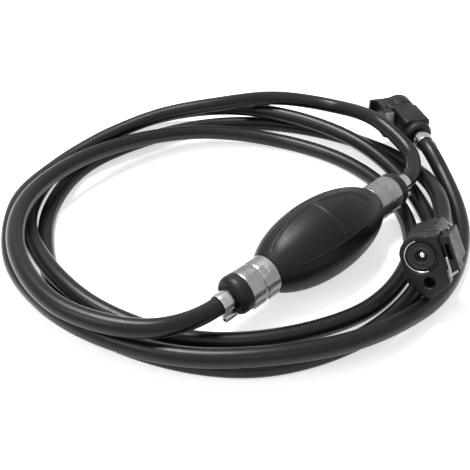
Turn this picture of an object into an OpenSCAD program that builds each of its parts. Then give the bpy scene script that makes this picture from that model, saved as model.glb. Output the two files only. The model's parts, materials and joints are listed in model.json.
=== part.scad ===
// Siphon bulb pump: a squeeze primer bulb, two long hoses and two quick connectors.
// Millimetres, +Z up. The bulb lies along X with its centre over the origin, on the floor at z = 0.

/* [Bulb] */
// Diameter of the squeeze bulb at its middle
bulb_dia = 54; // [44:1:64]
// Distance between the two crimp ferrules
bulb_length = 105; // [90:1:120]
// Rubber thickness of the bulb
bulb_wall = 3.6; // [2.4:0.2:5]
// Rubber thickness of the bulb's neck
neck_wall = 3.15; // [2.6:0.05:3.4]

/* [Ferrules and valves] */
// Outer diameter of the crimped steel ferrule
ferrule_dia = 26.5; // [25.6:0.1:28]
// Length of the ferrule
ferrule_length = 23.5; // [20:0.5:28]
// Thickness of the ferrule's steel and its fold
ferrule_wall = 1; // [0.7:0.1:1.2]
// How much smaller the black valve collar is than the ferrule
collar_step = 0.3; // [0:0.1:1]
// Length of the valve collar
collar_length = 9; // [7:0.5:12]
// Diameter of the bulb's check balls
check_ball_dia = 9; // [8:0.5:9]
// Free travel of the bulb's check balls
check_travel = 3; // [2:0.5:3]

/* [Hoses] */
// Outer diameter of the hose
hose_dia = 12; // [11:0.5:12]
// Bore of the hose
hose_bore = 8; // [7:0.5:8]
// Length of the straight stub at each hose end
stub = 12; // [12:1:14]
// Length of a hose barb
barb_length = 11.5; // [9:0.5:11.5]
// Fuel bore through barbs
fuel_bore = 4.6; // [3:0.2:5]

/* [Clamps] */
// Bore of a closed ear clamp
clamp_bore = 12.2; // [12.2:0.1:12.6]
// Thickness of the clamp's steel
clamp_thickness = 1; // [0.6:0.1:1.2]
// Width of the clamp's band
clamp_width = 9.6; // [7:0.2:9.6]

/* [Connectors] */
// Length of a connector from its face to the hose
connector_length = 50; // [46:1:54]
// Half width of the connector's head
head_half = 13.6; // [12:0.1:15]
// Thickness of the head
head_depth = 14; // [12:0.5:16]
// Half width of the body behind the head
body_half = 10.7; // [9:0.1:10.8]
// Half height of the body behind the head
body_rise = 12; // [10:0.5:13]
// Diameter of the port seal
seal_dia = 17.5; // [16:0.1:17.6]
// Port opening in the seal
port_dia = 8; // [7:0.1:9]
// Diameter of the connector's check ball
port_ball_dia = 6.5; // [6:0.1:6.8]
// Free travel of the connector's check ball
port_travel = 2.5; // [1.5:0.1:2.5]
// Diameter of the guide pin hole
guide_dia = 7.1; // [6:0.1:8]
// Distance from the port to the guide pin hole
guide_drop = 17.4; // [17:0.1:19]
// Depth of the guide pin hole
guide_depth = 9; // [6:0.5:9]
// Thickness of the latch lever
lever_thickness = 6; // [5:0.1:7]
// Diameter of the lever's pivot pin
pin_dia = 2.5; // [2:0.1:2.6]

/* [Hidden] */
$fn = 64;
axis_height = bulb_dia / 2;
belly_end = bulb_length / 2;
ferrule_end = belly_end + ferrule_length;
collar_end = ferrule_end + collar_length;
ellipse_reach = belly_end + 7.5;
neck_fit = 0.05;
neck_r = ferrule_dia / 2 - ferrule_wall - neck_fit;
neck_hole = neck_r - neck_wall;
spigot_r = neck_hole - neck_fit;
collar_r = ferrule_dia / 2 - collar_step / 2;
dish_r = collar_r - 3.9;
spigot_tip = belly_end + 1.5;
ball_r = check_ball_dia / 2;
chamber_r = ball_r + 0.3;
flute_width = 2.4;
insert_r = spigot_r - 1.5;
flute_reach = insert_r - 0.9;
insert_length = 4.4;
cage_face = spigot_tip + insert_length;
seat_bore = 3;
inlet_ball_u = cage_face + 0.5 + ball_r + check_travel;
inlet_seat_u = inlet_ball_u + 1.6;
outlet_ball_u = cage_face + 3.5;
outlet_chamber_end = outlet_ball_u + check_travel + ball_r + 0.4;
barb_root = 3.3;
barb_tooth = 3.9;
barb_pitch = 3;
clamp_gap = 1.6;
port_ball_r = port_ball_dia / 2;
port_hole = 2.5;
seat_x = -4.2;
port_ball_x = seat_x - 1.7;
sleeve_front = -4.7;
ball_spring_start = 2.8 - port_ball_x;
ball_spring_length = port_travel + 7;
sleeve_back = -ball_spring_start - ball_spring_length - 1.8;
housing_bore = seal_dia / 2 + 0.15;
socket_r = housing_bore + 2;
socket_depth = 2;
circlip_wire = 1.1;
cap_length = 6.6;
cap_dia = 23;
lever_y = head_half + 0.4;
lever_low = 11;
lever_toe = 12;
lever_front = -1.7;
lever_rear = -26.5;
wing_reach = 25.5;
foot_depth = 10.5;
head_corner = 11.6;
foot_top = 12;
foot_low = guide_drop + 10;
pivot_x = -17.5;
pivot_y = lever_y + 2.4;
lug_r = 2.4;
lug_low = 5.4;
lug_width = 3;
strip_low = 5;
strip_top = 3;
tab_tilt = 0.3;
rings_turn = 15;
tank_port = [179, 69.5, 30.8];
tank_heading = 59;
tank_lift = 0;
tank_roll = 0;
engine_port = [12.9, -67.7, 43.6];
engine_heading = 198;
engine_lift = 17.5;
engine_roll = 32;

// Which way a connector's face looks, and where its hose starts.
function facing(h, e) = [cos(e) * cos(h), cos(e) * sin(h), sin(e)];
tank_face = facing(tank_heading, tank_lift);
engine_face = facing(engine_heading, engine_lift);
tank_end = tank_port - connector_length * tank_face;
engine_end = engine_port - connector_length * engine_face;

// Routes of the hoses as they lie, from the bulb to the connector. The last point is worked out.
tank_route = [
    [collar_end + stub, 0, axis_height], [127, 15, 28], [140, 58, 37], [148, 112, 28],
    [117, 152, 32], [70, 179, 33], [26, 202, 30], [-24, 212, 25], [-77, 207, 21],
    [-124, 182, 23], [-155, 140, 16], [-163, 85, 15], [-155, 38, 17], [-131, -9, 18],
    [-94, -45, 19], [-48, -70, 17], [-8, -78, 12.5], [24, -78, 7.6], [52, -73, 6], [101, -49, 10],
    [134, -10, 21], tank_end - stub * tank_face
];
engine_route = [
    [-collar_end - stub, 0, axis_height], [-133, 7, 31], [-165, 56, 33], [-158, 121, 34],
    [-124, 169, 31], [-63, 196, 26], [-6, 196, 21], [54, 174, 14], [97, 128, 7],
    [113, 70, 6], [99, 8, 6], [56, -38, 6], [-9, -53, 6], [-63, -35, 6],
    [-113, 5, 8], [-142, 60, 16], [-142, 122, 19], [-119, 179, 11], [-71, 220, 8],
    [-9, 238, 8], [51, 230, 9], [93, 188, 17], [121, 132, 19], [133, 72, 15],
    [116, 8, 10], [78, -42, 7], [19, -65, 6], [-42, -64, 6], [-98, -38, 6],
    [-136, 12, 6], [-152, 77, 6], [-134, 132, 6], [-98, 183, 6], [-45, 213, 6],
    [17, 210, 7], [80, 187, 6], [122, 143, 6], [145, 82, 7], [138, 27, 13],
    [102, -27, 23], engine_end - stub * engine_face
];

// ---- curves -------------------------------------------------------------------------

function unit(v) = v / norm(v);

// Direction of the curve at point i: the neighbours' chords weighed by nearness.
function slope(r, i, a, b) =
    i == 0 ? a :
    i == len(r) - 1 ? b :
    let (p = r[i] - r[i - 1], q = r[i + 1] - r[i], dp = norm(p), dq = norm(q))
    (p / dp * dq + q / dq * dp) / (dp + dq);

// A point of the curve between points i and i + 1, and its direction.
function at(r, i, t, a, b) =
    let (h = norm(r[i + 1] - r[i]), m = slope(r, i, a, b), n = slope(r, i + 1, a, b))
    r[i] * (2 * pow(t, 3) - 3 * pow(t, 2) + 1) + m * h * (pow(t, 3) - 2 * pow(t, 2) + t)
    + r[i + 1] * (3 * pow(t, 2) - 2 * pow(t, 3)) + n * h * (pow(t, 3) - pow(t, 2));

function toward(r, i, t, a, b) =
    let (h = norm(r[i + 1] - r[i]), m = slope(r, i, a, b), n = slope(r, i + 1, a, b))
    unit((r[i + 1] - r[i]) * (6 * t - 6 * pow(t, 2))
        + m * h * (3 * pow(t, 2) - 4 * t + 1) + n * h * (3 * pow(t, 2) - 2 * t));

// Rings between two points: one for each 15 degrees that the curve turns there.
function turn(a, b) = acos(max(-1, min(1, unit(a) * unit(b))));
function rings(r, i, a, b) =
    max(1, round(turn(slope(r, i, a, b), slope(r, i + 1, a, b)) / rings_turn));

function on_floor(p) = [p[0], p[1], max(p[2], hose_dia / 2)];

// All stations [point, direction] from the first stub to the last.
function stations(r, a, b) = concat(
    [[r[0] - stub * a, a]],
    [for (i = [0 : len(r) - 2]) let (n = rings(r, i, a, b)) for (k = [0 : n - 1])
        [on_floor(at(r, i, k / n, a, b)), toward(r, i, k / n, a, b)]],
    [[r[len(r) - 1], b], [r[len(r) - 1] + stub * b, b]]
);

function ring(s, radius, sides) =
    let (u = unit(cross([0, 0, 1], s[1])), w = cross(s[1], u))
    [for (k = [0 : sides - 1])
        s[0] + radius * (u * sin(360 * k / sides) - w * cos(360 * k / sides))];

// One unbroken tube through the stations, with its bore.
module tube(st, outer, inner, sides) {
    n = len(st);
    skin = [for (s = st) each ring(s, outer, sides)];
    hole = [for (s = st) each ring(s, inner, sides)];
    base = n * sides;
    out_faces = [for (i = [0 : n - 2]) for (k = [0 : sides - 1])
        let (a = i * sides + k, b = i * sides + (k + 1) % sides)
        each [[a, a + sides, b], [b, a + sides, b + sides]]];
    in_faces = [for (f = out_faces) [base + f[0], base + f[2], base + f[1]]];
    first = [for (k = [0 : sides - 1]) let (a = k, b = (k + 1) % sides)
        each [[a, b, base + a], [b, base + b, base + a]]];
    shift = (n - 1) * sides;
    last = [for (f = first) [f[0] + shift, f[2] + shift, f[1] + shift]];
    polyhedron(points = concat(skin, hole), faces = concat(out_faces, in_faces, first, last));
}

// A solid rod through the stations, for springs.
module rod(st, radius, sides) {
    n = len(st);
    skin = [for (s = st) each ring(s, radius, sides)];
    sides_faces = [for (i = [0 : n - 2]) for (k = [0 : sides - 1])
        let (a = i * sides + k, b = i * sides + (k + 1) % sides)
        each [[a, a + sides, b], [b, a + sides, b + sides]]];
    first = [for (k = [1 : sides - 2]) [0, k, k + 1]];
    shift = (n - 1) * sides;
    last = [for (f = first) [f[0] + shift, f[2] + shift, f[1] + shift]];
    polyhedron(points = skin, faces = concat(sides_faces, first, last));
}

// Least gap of a tube to itself, measured on points a few millimetres apart.
function samples(r, a, b) = [for (i = [0 : len(r) - 2]) for (k = [0 : 11])
    on_floor(at(r, i, k / 12, a, b))];
function least_gap(p, skip) = min([for (i = [0 : len(p) - skip - 1])
    for (j = [i + skip : len(p) - 1]) norm(p[i] - p[j])]) - hose_dia;

// ---- bulb ---------------------------------------------------------------------------

function belly(x, reach, r) = r * sqrt(max(0, 1 - pow(x / reach, 2)));

module along_x(side) {
    translate([0, 0, axis_height])
    rotate([0, side * 90, 0])
    children();
}

module bulb() {
    in_reach = ellipse_reach - bulb_wall - 0.4;
    in_r = bulb_dia / 2 - bulb_wall;
    outside = [for (k = [-20 : 20]) let (x = k * (belly_end - 0.2) / 20)
        [belly(x, ellipse_reach, bulb_dia / 2), x]];
    inside = [for (k = [-16 : 16]) let (x = -k * (belly_end - 1.5) / 16)
        [belly(x, in_reach, in_r), x]];
    color([0.07, 0.07, 0.07])
    along_x(1)
    rotate_extrude()
    polygon(concat(
        [[neck_r, -ferrule_end], [neck_r, -belly_end + 0.1]],
        outside,
        [[neck_r, belly_end - 0.1], [neck_r, ferrule_end]],
        [[neck_hole, ferrule_end], [neck_hole, belly_end - 0.7]],
        inside,
        [[neck_hole, -belly_end + 0.7], [neck_hole, -ferrule_end]]
    ));
}

// Crimped steel ferrule in two stepped zones, with the folded seam that closes it.
module ferrule(side) {
    inner = neck_r + neck_fit;
    outer = ferrule_dia / 2;
    middle = belly_end + ferrule_length / 2;
    color([0.72, 0.72, 0.72])
    along_x(side) {
        rotate_extrude()
        polygon([
            [inner, belly_end], [outer, belly_end], [outer, middle - 0.8],
            [outer - 0.5, middle], [outer - 0.1, middle + 0.8], [outer - 0.1, ferrule_end - 1.2],
            [outer - 0.4, ferrule_end], [inner, ferrule_end]
        ]);
        rotate([0, 0, -side * 60])
        for (s = [[belly_end + 0.6, middle - 2.1], [middle + 1, ferrule_end - 0.7]])
            translate([side * outer - ferrule_wall * 0.9, -2.4, s[0]])
            cube([ferrule_wall * 1.8, 4.8, s[1] - s[0]]);
    }
}

module inlet_ferrule() { ferrule(1); }
module outlet_ferrule() { ferrule(-1); }

// Outside of a valve body: spigot in the neck, dished collar and hose barb.
function body_outside() = [
    [collar_r, ferrule_end], [collar_r, collar_end - 4.2],
    [collar_r - 0.7, collar_end - 2.2], [collar_r - 2.1, collar_end - 0.6],
    [collar_r - 3.4, collar_end], [dish_r, collar_end - 1.3], [dish_r - 1.6, collar_end - 1.3],
    [dish_r - 2.2, collar_end], [barb_root, collar_end],
    for (k = [1 : 3]) each [[barb_root, collar_end + k * barb_pitch], [barb_tooth, collar_end + k * barb_pitch]],
    [barb_root - 0.2, collar_end + barb_length], [fuel_bore / 2, collar_end + barb_length]
];

module flutes(from, to) {
    for (a = [0, 90])
        rotate([0, 0, a])
        translate([-flute_reach, -flute_width / 2, from])
        cube([2 * flute_reach, flute_width, to - from]);
}

module inlet_valve_body() {
    color([0.05, 0.05, 0.05])
    along_x(1)
    difference() {
        rotate_extrude()
        polygon(concat(
            [[insert_r + 0.05, spigot_tip], [spigot_r, spigot_tip], [spigot_r, ferrule_end]],
            body_outside(),
            [[fuel_bore / 2, inlet_seat_u + 3], [chamber_r, inlet_seat_u], [chamber_r, cage_face],
             [insert_r + 0.05, cage_face]]
        ));
        flutes(cage_face, inlet_seat_u - 0.2);
    }
}

module outlet_valve_body() {
    color([0.05, 0.05, 0.05])
    along_x(-1)
    difference() {
        rotate_extrude()
        polygon(concat(
            [[insert_r + 0.05, spigot_tip], [spigot_r, spigot_tip], [spigot_r, ferrule_end]],
            body_outside(),
            [[fuel_bore / 2, outlet_chamber_end], [chamber_r, outlet_chamber_end], [chamber_r, cage_face],
             [insert_r + 0.05, cage_face]]
        ));
        flutes(cage_face, outlet_chamber_end + 3);
    }
}

// The slotted disc that keeps the inlet ball in its chamber.
module inlet_cage() {
    color([0.75, 0.72, 0.62])
    along_x(1)
    difference() {
        translate([0, 0, spigot_tip])
        cylinder(r = insert_r, h = insert_length);
        flutes(spigot_tip - 1, cage_face + 1);
    }
}

module outlet_seat() {
    color([0.75, 0.72, 0.62])
    along_x(-1)
    rotate_extrude()
    polygon([
        [seat_bore, spigot_tip], [insert_r, spigot_tip], [insert_r, cage_face],
        [seat_bore + 0.8, cage_face], [seat_bore, cage_face - 0.8]
    ]);
}

module inlet_ball() {
    color([0.8, 0.8, 0.78])
    translate([inlet_ball_u, 0, axis_height])
    sphere(r = ball_r);
}

module outlet_ball() {
    color([0.8, 0.8, 0.78])
    translate([-outlet_ball_u, 0, axis_height])
    sphere(r = ball_r);
}

// ---- ear clamps ---------------------------------------------------------------------

// A closed single-ear clamp round +Z from z = 0, its ear towards +X.
module ear_clamp() {
    inner = clamp_bore / 2;
    outer = inner + clamp_thickness;
    ear_at = outer + 2.1;
    linear_extrude(clamp_width)
    difference() {
        union() {
            circle(r = outer);
            translate([outer - 0.6, -1.5])
            square([2, 3]);
            translate([ear_at, 0])
            circle(r = 2.4);
        }
        circle(r = inner);
        translate([ear_at, 0])
        circle(r = 1.4);
    }
}

module bulb_clamps() {
    color([0.78, 0.78, 0.78])
    for (side = [-1, 1])
        translate([side > 0 ? collar_end + 0.2 : -collar_end - 0.2 - clamp_width, 0, axis_height])
        rotate([0, 90, 0])
        rotate([0, 0, -40])
        ear_clamp();
}

// ---- hoses --------------------------------------------------------------------------

module tank_hose() {
    echo(tank_hose_gap = least_gap(samples(tank_route, [1, 0, 0], tank_face), 24));
    color([0.06, 0.06, 0.06])
    tube(stations(tank_route, [1, 0, 0], tank_face), hose_dia / 2, hose_bore / 2, 6);
}

module engine_hose() {
    echo(engine_hose_gap = least_gap(samples(engine_route, [-1, 0, 0], engine_face), 24));
    color([0.06, 0.06, 0.06])
    tube(stations(engine_route, [-1, 0, 0], engine_face), hose_dia / 2, hose_bore / 2, 6);
}

// ---- connectors ---------------------------------------------------------------------
// A connector's own axes: its face at x = 0 looks to +X, the lever is at +Y, the guide hole at -Z.

module at_tank() {
    translate(tank_port)
    rotate([tank_roll, -tank_lift, tank_heading])
    children();
}

module at_engine() {
    translate(engine_port)
    rotate([engine_roll, -engine_lift, engine_heading])
    children();
}

// Stands a drawing in (y, z) upright and extrudes it from x to x + length.
module face_extrude(x, length) {
    translate([x, 0, 0])
    rotate([90, 0, 90])
    linear_extrude(length)
    children();
}

// Turns a drawing in (x, z) upright and extrudes it from y to y + thick.
module side_extrude(y, thick) {
    translate([0, y + thick, 0])
    rotate([90, 0, 0])
    linear_extrude(thick)
    children();
}

module rounded(half_width, half_height, r) {
    square([2 * half_width, 2 * (half_height - r)], center = true);
    square([2 * (half_width - r), 2 * half_height], center = true);
    for (i = [-1, 1], j = [-1, 1])
        translate([i * (half_width - r), j * (half_height - r)])
        circle(r = r);
}

// Round-topped head of the connector, down to where the foot begins.
module head_outline() {
    intersection() {
        circle(r = head_half);
        translate([-head_half, -foot_top])
        square([2 * head_half, foot_top + head_half]);
    }
    translate([-head_half, -foot_top])
    square([2 * head_half, foot_top]);
    square([head_half, head_corner]);
}

module housing() {
    rear = connector_length - cap_length;
    color([0.05, 0.05, 0.05])
    difference() {
        union() {
            face_extrude(-head_depth, head_depth) head_outline();
            face_extrude(-rear, rear - head_depth + 1) rounded(body_half, body_rise, 3);
            for (k = [0 : 4])
                translate([-22 - 4 * k, -body_half - 0.8, -8])
                cube([1.6, 1.6, 16]);
            for (z = [lug_low, -lug_low - lug_width])
                translate([pivot_x, 0, z]) {
                    translate([0, pivot_y, 0])
                    cylinder(r = lug_r, h = lug_width);
                    translate([-lug_r, body_half - 1, 0])
                    cube([2 * lug_r, pivot_y - body_half + 1, lug_width]);
                }
        }
        rotate([0, -90, 0]) {
            translate([0, 0, -1])
            cylinder(r = socket_r, h = socket_depth + 1);
            cylinder(r = housing_bore, h = -sleeve_back + 0.1);
            cylinder(r = 4.5, h = connector_length);
        }
        translate([pivot_x, pivot_y, -20])
        cylinder(r = pin_dia / 2, h = 40);
    }
}

// The head's foot with the blind hole for the guide pin.
module guide_foot() {
    color([0.05, 0.05, 0.05])
    difference() {
        face_extrude(-foot_depth, foot_depth)
        polygon([
            [-head_half, -foot_top], [-head_half, -foot_top - 3], [-5.2, 0.2 - foot_low],
            [-1.5, -foot_low], [head_half - 1.3, 6 - foot_low], [head_half - 1.3, -foot_top]
        ]);
        rotate([0, -90, 0])
        translate([-guide_drop, 0, -1])
        cylinder(r = guide_dia / 2, h = guide_depth + 1);
    }
}

// Round rear collar that closes the body behind.
module rear_cap() {
    front = connector_length - cap_length;
    color([0.05, 0.05, 0.05])
    rotate([0, -90, 0])
    rotate_extrude()
    polygon([
        [4.5, front], [cap_dia / 2, front], [cap_dia / 2, connector_length - 2.4],
        [cap_dia / 2 - 1, connector_length - 0.8], [cap_dia / 2 - 2.6, connector_length],
        [4.5, connector_length]
    ]);
}

module hose_barb() {
    front = connector_length - 14;
    color([0.75, 0.62, 0.35])
    rotate([0, -90, 0])
    rotate_extrude()
    polygon([
        [fuel_bore / 2, front], [4.5, front], [4.5, connector_length],
        [barb_root, connector_length],
        for (k = [1 : 3]) each [
            [barb_root, connector_length + k * barb_pitch],
            [barb_tooth, connector_length + k * barb_pitch]
        ],
        [barb_root - 0.2, connector_length + barb_length],
        [fuel_bore / 2, connector_length + barb_length]
    ]);
}

module port_seal() {
    color([0.04, 0.04, 0.04])
    rotate([0, -90, 0])
    rotate_extrude()
    polygon([
        [port_dia / 2, 0.5], [port_dia / 2 + 2, 0.5], [seal_dia / 2 - 1.4, 0.9],
        [seal_dia / 2 - 0.6, 0.9], [seal_dia / 2, 1.3], [seal_dia / 2, -sleeve_front - 0.1],
        [port_ball_r - 0.15, -sleeve_front - 0.1], [port_ball_r - 0.35, -seat_x],
        [port_dia / 2, port_hole]
    ]);
}

// Open wire ring that snaps into the socket and holds the seal.
module circlip() {
    color([0.8, 0.8, 0.8])
    rotate([0, -90, 0])
    rotate([0, 0, 180])
    rotate_extrude(angle = 250)
    translate([socket_r - circlip_wire - 0.1, 0.7])
    square(circlip_wire);
}

module valve_sleeve() {
    color([0.75, 0.62, 0.35])
    rotate([0, -90, 0])
    rotate_extrude()
    polygon([
        [port_ball_r + 0.3, -sleeve_front], [housing_bore - 0.05, -sleeve_front],
        [housing_bore - 0.05, -sleeve_back], [2, -sleeve_back], [2, -sleeve_back - 1.4],
        [port_ball_r + 0.3, -sleeve_back - 1.4]
    ]);
}

module port_ball() {
    color([0.8, 0.8, 0.8])
    translate([port_ball_x, 0, 0])
    sphere(r = port_ball_r);
}

// Compression spring between the ball and the sleeve's end, as one wound wire.
module ball_spring() {
    wire = 0.35;
    r = port_ball_r - 0.85;
    coils = 5;
    st = [for (k = [0 : 8 * coils]) let (a = 45 * k)
        [[-r * sin(a), r * cos(a), ball_spring_start + ball_spring_length * k / (8 * coils)],
         unit([-cos(a), -sin(a), 0.12])]];
    color([0.7, 0.7, 0.7])
    rotate([0, -90, 0])
    rod(st, wire, 6);
}

// Side lever, notched for the housing's two lugs and grooved for the steel latch.
module lever(top, low, wing) {
    length = lever_front - lever_rear;
    color([0.05, 0.05, 0.05])
    difference() {
        union() {
            translate([lever_rear, lever_y, -lever_low])
            cube([length, lever_thickness, lever_low + top]);
            translate([lever_front - lever_toe, lever_y, -low])
            cube([lever_toe, lever_thickness, low + top]);
            if (wing > 0)
                translate([lever_front - 3, lever_y + 1, 1])
                cube([3, wing - lever_y - 1, 11]);
        }
        for (z = [lug_low, -lug_low - lug_width])
            translate([pivot_x, 0, z - 0.3]) {
                translate([0, pivot_y, 0])
                cylinder(r = lug_r + 0.3, h = lug_width + 0.6);
                translate([-3.4, lever_y - 1, 0])
                cube([6.8, pivot_y - lever_y + 1, lug_width + 0.6]);
            }
        translate([pivot_x, pivot_y, -20])
        cylinder(r = pin_dia / 2 + 0.05, h = 40);
        translate([lever_rear - 1, lever_y - 1, -strip_low - 0.2])
        cube([length + 2, 1.6, strip_low + strip_top + 0.4]);
        translate([lever_front - 5, lever_y + 1.6, -6.5])
        cube([6, 2.8, 10.5]);
    }
}

// Stamped steel latch: hook in front, strip along the lever, thumb tab behind.
module hook(low, tab, tab_top) {
    inside_y = lever_y - 0.1;
    lean = low > foot_top ? 0.9 : 0;
    tilt = tab_tilt * (strip_low + tab_top);
    color([0.78, 0.78, 0.78]) {
        face_extrude(lever_front, 1.2)
        translate([inside_y, -low])
        polygon([
            [0, low - strip_low + 1], [0, 4.8], [-lean, 1], [0.6 - lean, 0], [5.3, 2.4], [5, 3.6],
            [1.1, 2.2], [1.6, 4.8], [1.6, low - strip_low + 1]
        ]);
        side_extrude(inside_y, 0.6)
        polygon([
            [lever_front, -strip_low], [lever_rear - tilt, -strip_low],
            [lever_rear - tilt * (tab_top - strip_top) / (tab_top + strip_low), strip_top],
            [lever_front - 6, strip_top], [lever_front - 3, 1 - strip_low],
            [lever_front, 1 - strip_low]
        ]);
        side_extrude(inside_y, tab)
        polygon([
            [lever_rear, tab_top], [lever_rear - 1, tab_top],
            [lever_rear - tilt - 1, -strip_low], [lever_rear - tilt, -strip_low]
        ]);
    }
}

module lever_pin() {
    color([0.78, 0.78, 0.78])
    translate([pivot_x, pivot_y, -lug_low - lug_width - 1.6])
    cylinder(r = pin_dia / 2, h = 2 * (lug_low + lug_width + 1.6));
}

// Leaf spring riveted to the body's side, pushing the lever's rear outwards.
module lever_spring() {
    color([0.78, 0.78, 0.78])
    translate([0, 0, -2.5])
    linear_extrude(5)
    polygon([
        [-36, body_half], [-30.8, body_half], [-22, lever_y - 1], [-22, lever_y - 0.4],
        [-31, body_half + 0.7], [-36, body_half + 0.7]
    ]);
}

module connector_clamps() {
    color([0.78, 0.78, 0.78]) {
        at_tank()
        translate([-connector_length - clamp_gap, 0, 0])
        rotate([0, -90, 0])
        rotate([0, 0, -70])
        ear_clamp();
        at_engine()
        translate([-connector_length - clamp_gap, 0, 0])
        rotate([0, -90, 0])
        rotate([0, 0, 20])
        ear_clamp();
    }
}

module tank_housing() { at_tank() housing(); }
module tank_guide_foot() { at_tank() guide_foot(); }
module tank_rear_cap() { at_tank() rear_cap(); }
module tank_hose_barb() { at_tank() hose_barb(); }
module tank_port_seal() { at_tank() port_seal(); }
module tank_circlip() { at_tank() circlip(); }
module tank_valve_sleeve() { at_tank() valve_sleeve(); }
module tank_ball() { at_tank() port_ball(); }
module tank_ball_spring() { at_tank() ball_spring(); }
module tank_lever() { at_tank() lever(body_rise, lever_low, wing_reach); }
module tank_hook() { at_tank() hook(10, 7.2, body_rise); }
module tank_lever_pin() { at_tank() lever_pin(); }
module tank_lever_spring() { at_tank() lever_spring(); }
module engine_housing() { at_engine() housing(); }
module engine_guide_foot() { at_engine() guide_foot(); }
module engine_rear_cap() { at_engine() rear_cap(); }
module engine_hose_barb() { at_engine() hose_barb(); }
module engine_port_seal() { at_engine() port_seal(); }
module engine_circlip() { at_engine() circlip(); }
module engine_valve_sleeve() { at_engine() valve_sleeve(); }
module engine_ball() { at_engine() port_ball(); }
module engine_ball_spring() { at_engine() ball_spring(); }
module engine_lever() { at_engine() lever(8.5, 14.5, 0); }
module engine_hook() { at_engine() hook(16.8, 4, strip_top); }
module engine_lever_pin() { at_engine() lever_pin(); }
module engine_lever_spring() { at_engine() lever_spring(); }

bulb();
inlet_ferrule();
outlet_ferrule();
inlet_valve_body();
outlet_valve_body();
inlet_cage();
outlet_seat();
inlet_ball();
outlet_ball();
bulb_clamps();
tank_hose();
engine_hose();
connector_clamps();
tank_housing();
tank_guide_foot();
tank_rear_cap();
tank_hose_barb();
tank_port_seal();
tank_circlip();
tank_valve_sleeve();
tank_ball();
tank_ball_spring();
tank_lever();
tank_hook();
tank_lever_pin();
tank_lever_spring();
engine_housing();
engine_guide_foot();
engine_rear_cap();
engine_hose_barb();
engine_port_seal();
engine_circlip();
engine_valve_sleeve();
engine_ball();
engine_ball_spring();
engine_lever();
engine_hook();
engine_lever_pin();
engine_lever_spring();
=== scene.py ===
# A siphon bulb pump: squeeze bulb, two looped fuel hoses and two quick connectors.
# Everything is in metres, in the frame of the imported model.
import json
import math

import bmesh
import bpy
import numpy as np
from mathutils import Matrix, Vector


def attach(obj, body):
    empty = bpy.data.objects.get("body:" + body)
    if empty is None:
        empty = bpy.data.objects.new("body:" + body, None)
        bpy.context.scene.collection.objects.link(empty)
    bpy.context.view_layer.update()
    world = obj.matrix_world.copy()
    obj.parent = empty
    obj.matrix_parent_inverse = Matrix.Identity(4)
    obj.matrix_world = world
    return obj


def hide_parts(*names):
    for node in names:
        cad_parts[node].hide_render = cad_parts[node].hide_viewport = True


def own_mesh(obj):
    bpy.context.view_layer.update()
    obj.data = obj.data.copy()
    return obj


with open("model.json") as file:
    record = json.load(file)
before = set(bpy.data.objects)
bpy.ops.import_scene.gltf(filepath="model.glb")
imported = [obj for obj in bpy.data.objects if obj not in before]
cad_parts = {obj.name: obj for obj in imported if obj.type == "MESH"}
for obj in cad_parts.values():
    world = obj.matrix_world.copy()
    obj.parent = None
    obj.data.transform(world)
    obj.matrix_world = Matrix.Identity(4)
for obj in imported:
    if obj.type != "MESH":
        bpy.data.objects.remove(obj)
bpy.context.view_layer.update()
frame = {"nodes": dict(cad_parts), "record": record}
setBody = "hose_set"
mm = 0.001
pi = math.pi


view = {
    "place": (-0.2972, -0.2246, 0.322),
    "turn": (51.5, 0.0, -44.0),
    "lens": 53.617,
    "sensor": 36.0,
}


def addCamera():
    camera = bpy.data.objects.new("camera", bpy.data.cameras.new("camera"))
    camera.data.sensor_width = view["sensor"]
    camera.data.lens = view["lens"]
    camera.data.clip_start = 0.01
    camera.location = view["place"]
    camera.rotation_euler = [math.radians(a) for a in view["turn"]]
    bpy.context.scene.collection.objects.link(camera)
    bpy.context.scene.camera = camera


addCamera()
print("camera placed")


def linearColour(code):
    # sRGB hex to Blender's linear colour.
    parts = [int(code[i:i + 2], 16) / 255 for i in (1, 3, 5)]
    return [c / 12.92 if c <= 0.04045 else ((c + 0.055) / 1.055) ** 2.4 for c in parts] + [1.0]


def addNode(tree, kind, values=None, links=None, **settings):
    # One node: settings are its properties, values its inputs, links pairs of input and output.
    node = tree.nodes.new(kind)
    for key, value in settings.items():
        setattr(node, key, value)
    for key, value in (values or {}).items():
        node.inputs[key].default_value = value
    for key, source in (links or {}).items():
        tree.links.new(source, node.inputs[key])
    return node


def startMaterial(name, **shaderValues):
    material = bpy.data.materials.new(name)
    material.use_nodes = True
    tree = material.node_tree
    tree.nodes.clear()
    shader = addNode(tree, "ShaderNodeBsdfPrincipled", shaderValues)
    output = addNode(tree, "ShaderNodeOutputMaterial")
    tree.links.new(shader.outputs[0], output.inputs[0])
    return material, tree, shader


def noiseOver(tree, source, scale, detail=2.0):
    # Height or shade from a noise of that scale.
    noise = addNode(tree, "ShaderNodeTexNoise", {"Scale": scale, "Detail": detail}, {"Vector": source})
    return noise.outputs[0]


def colourByNoise(tree, shader, source, scale, dark, light):
    # Base colour drifts between two shades with a noise of that scale.
    noise = noiseOver(tree, source, scale, 4.0)
    ramp = addNode(tree, "ShaderNodeValToRGB", links={"Fac": noise})
    ramp.color_ramp.elements[0].position = 0.35
    ramp.color_ramp.elements[1].position = 0.68
    ramp.color_ramp.elements[0].color = linearColour(dark)
    ramp.color_ramp.elements[1].color = linearColour(light)
    tree.links.new(ramp.outputs[0], shader.inputs["Base Color"])


def roughnessByNoise(tree, shader, source, scale, low, high):
    # Roughness drifts between low and high with a noise of that scale.
    noise = noiseOver(tree, source, scale, 3.0)
    spread = addNode(tree, "ShaderNodeMapRange",
                     {"From Min": 0.3, "From Max": 0.7, "To Min": low, "To Max": high}, {"Value": noise})
    tree.links.new(spread.outputs[0], shader.inputs["Roughness"])


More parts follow.
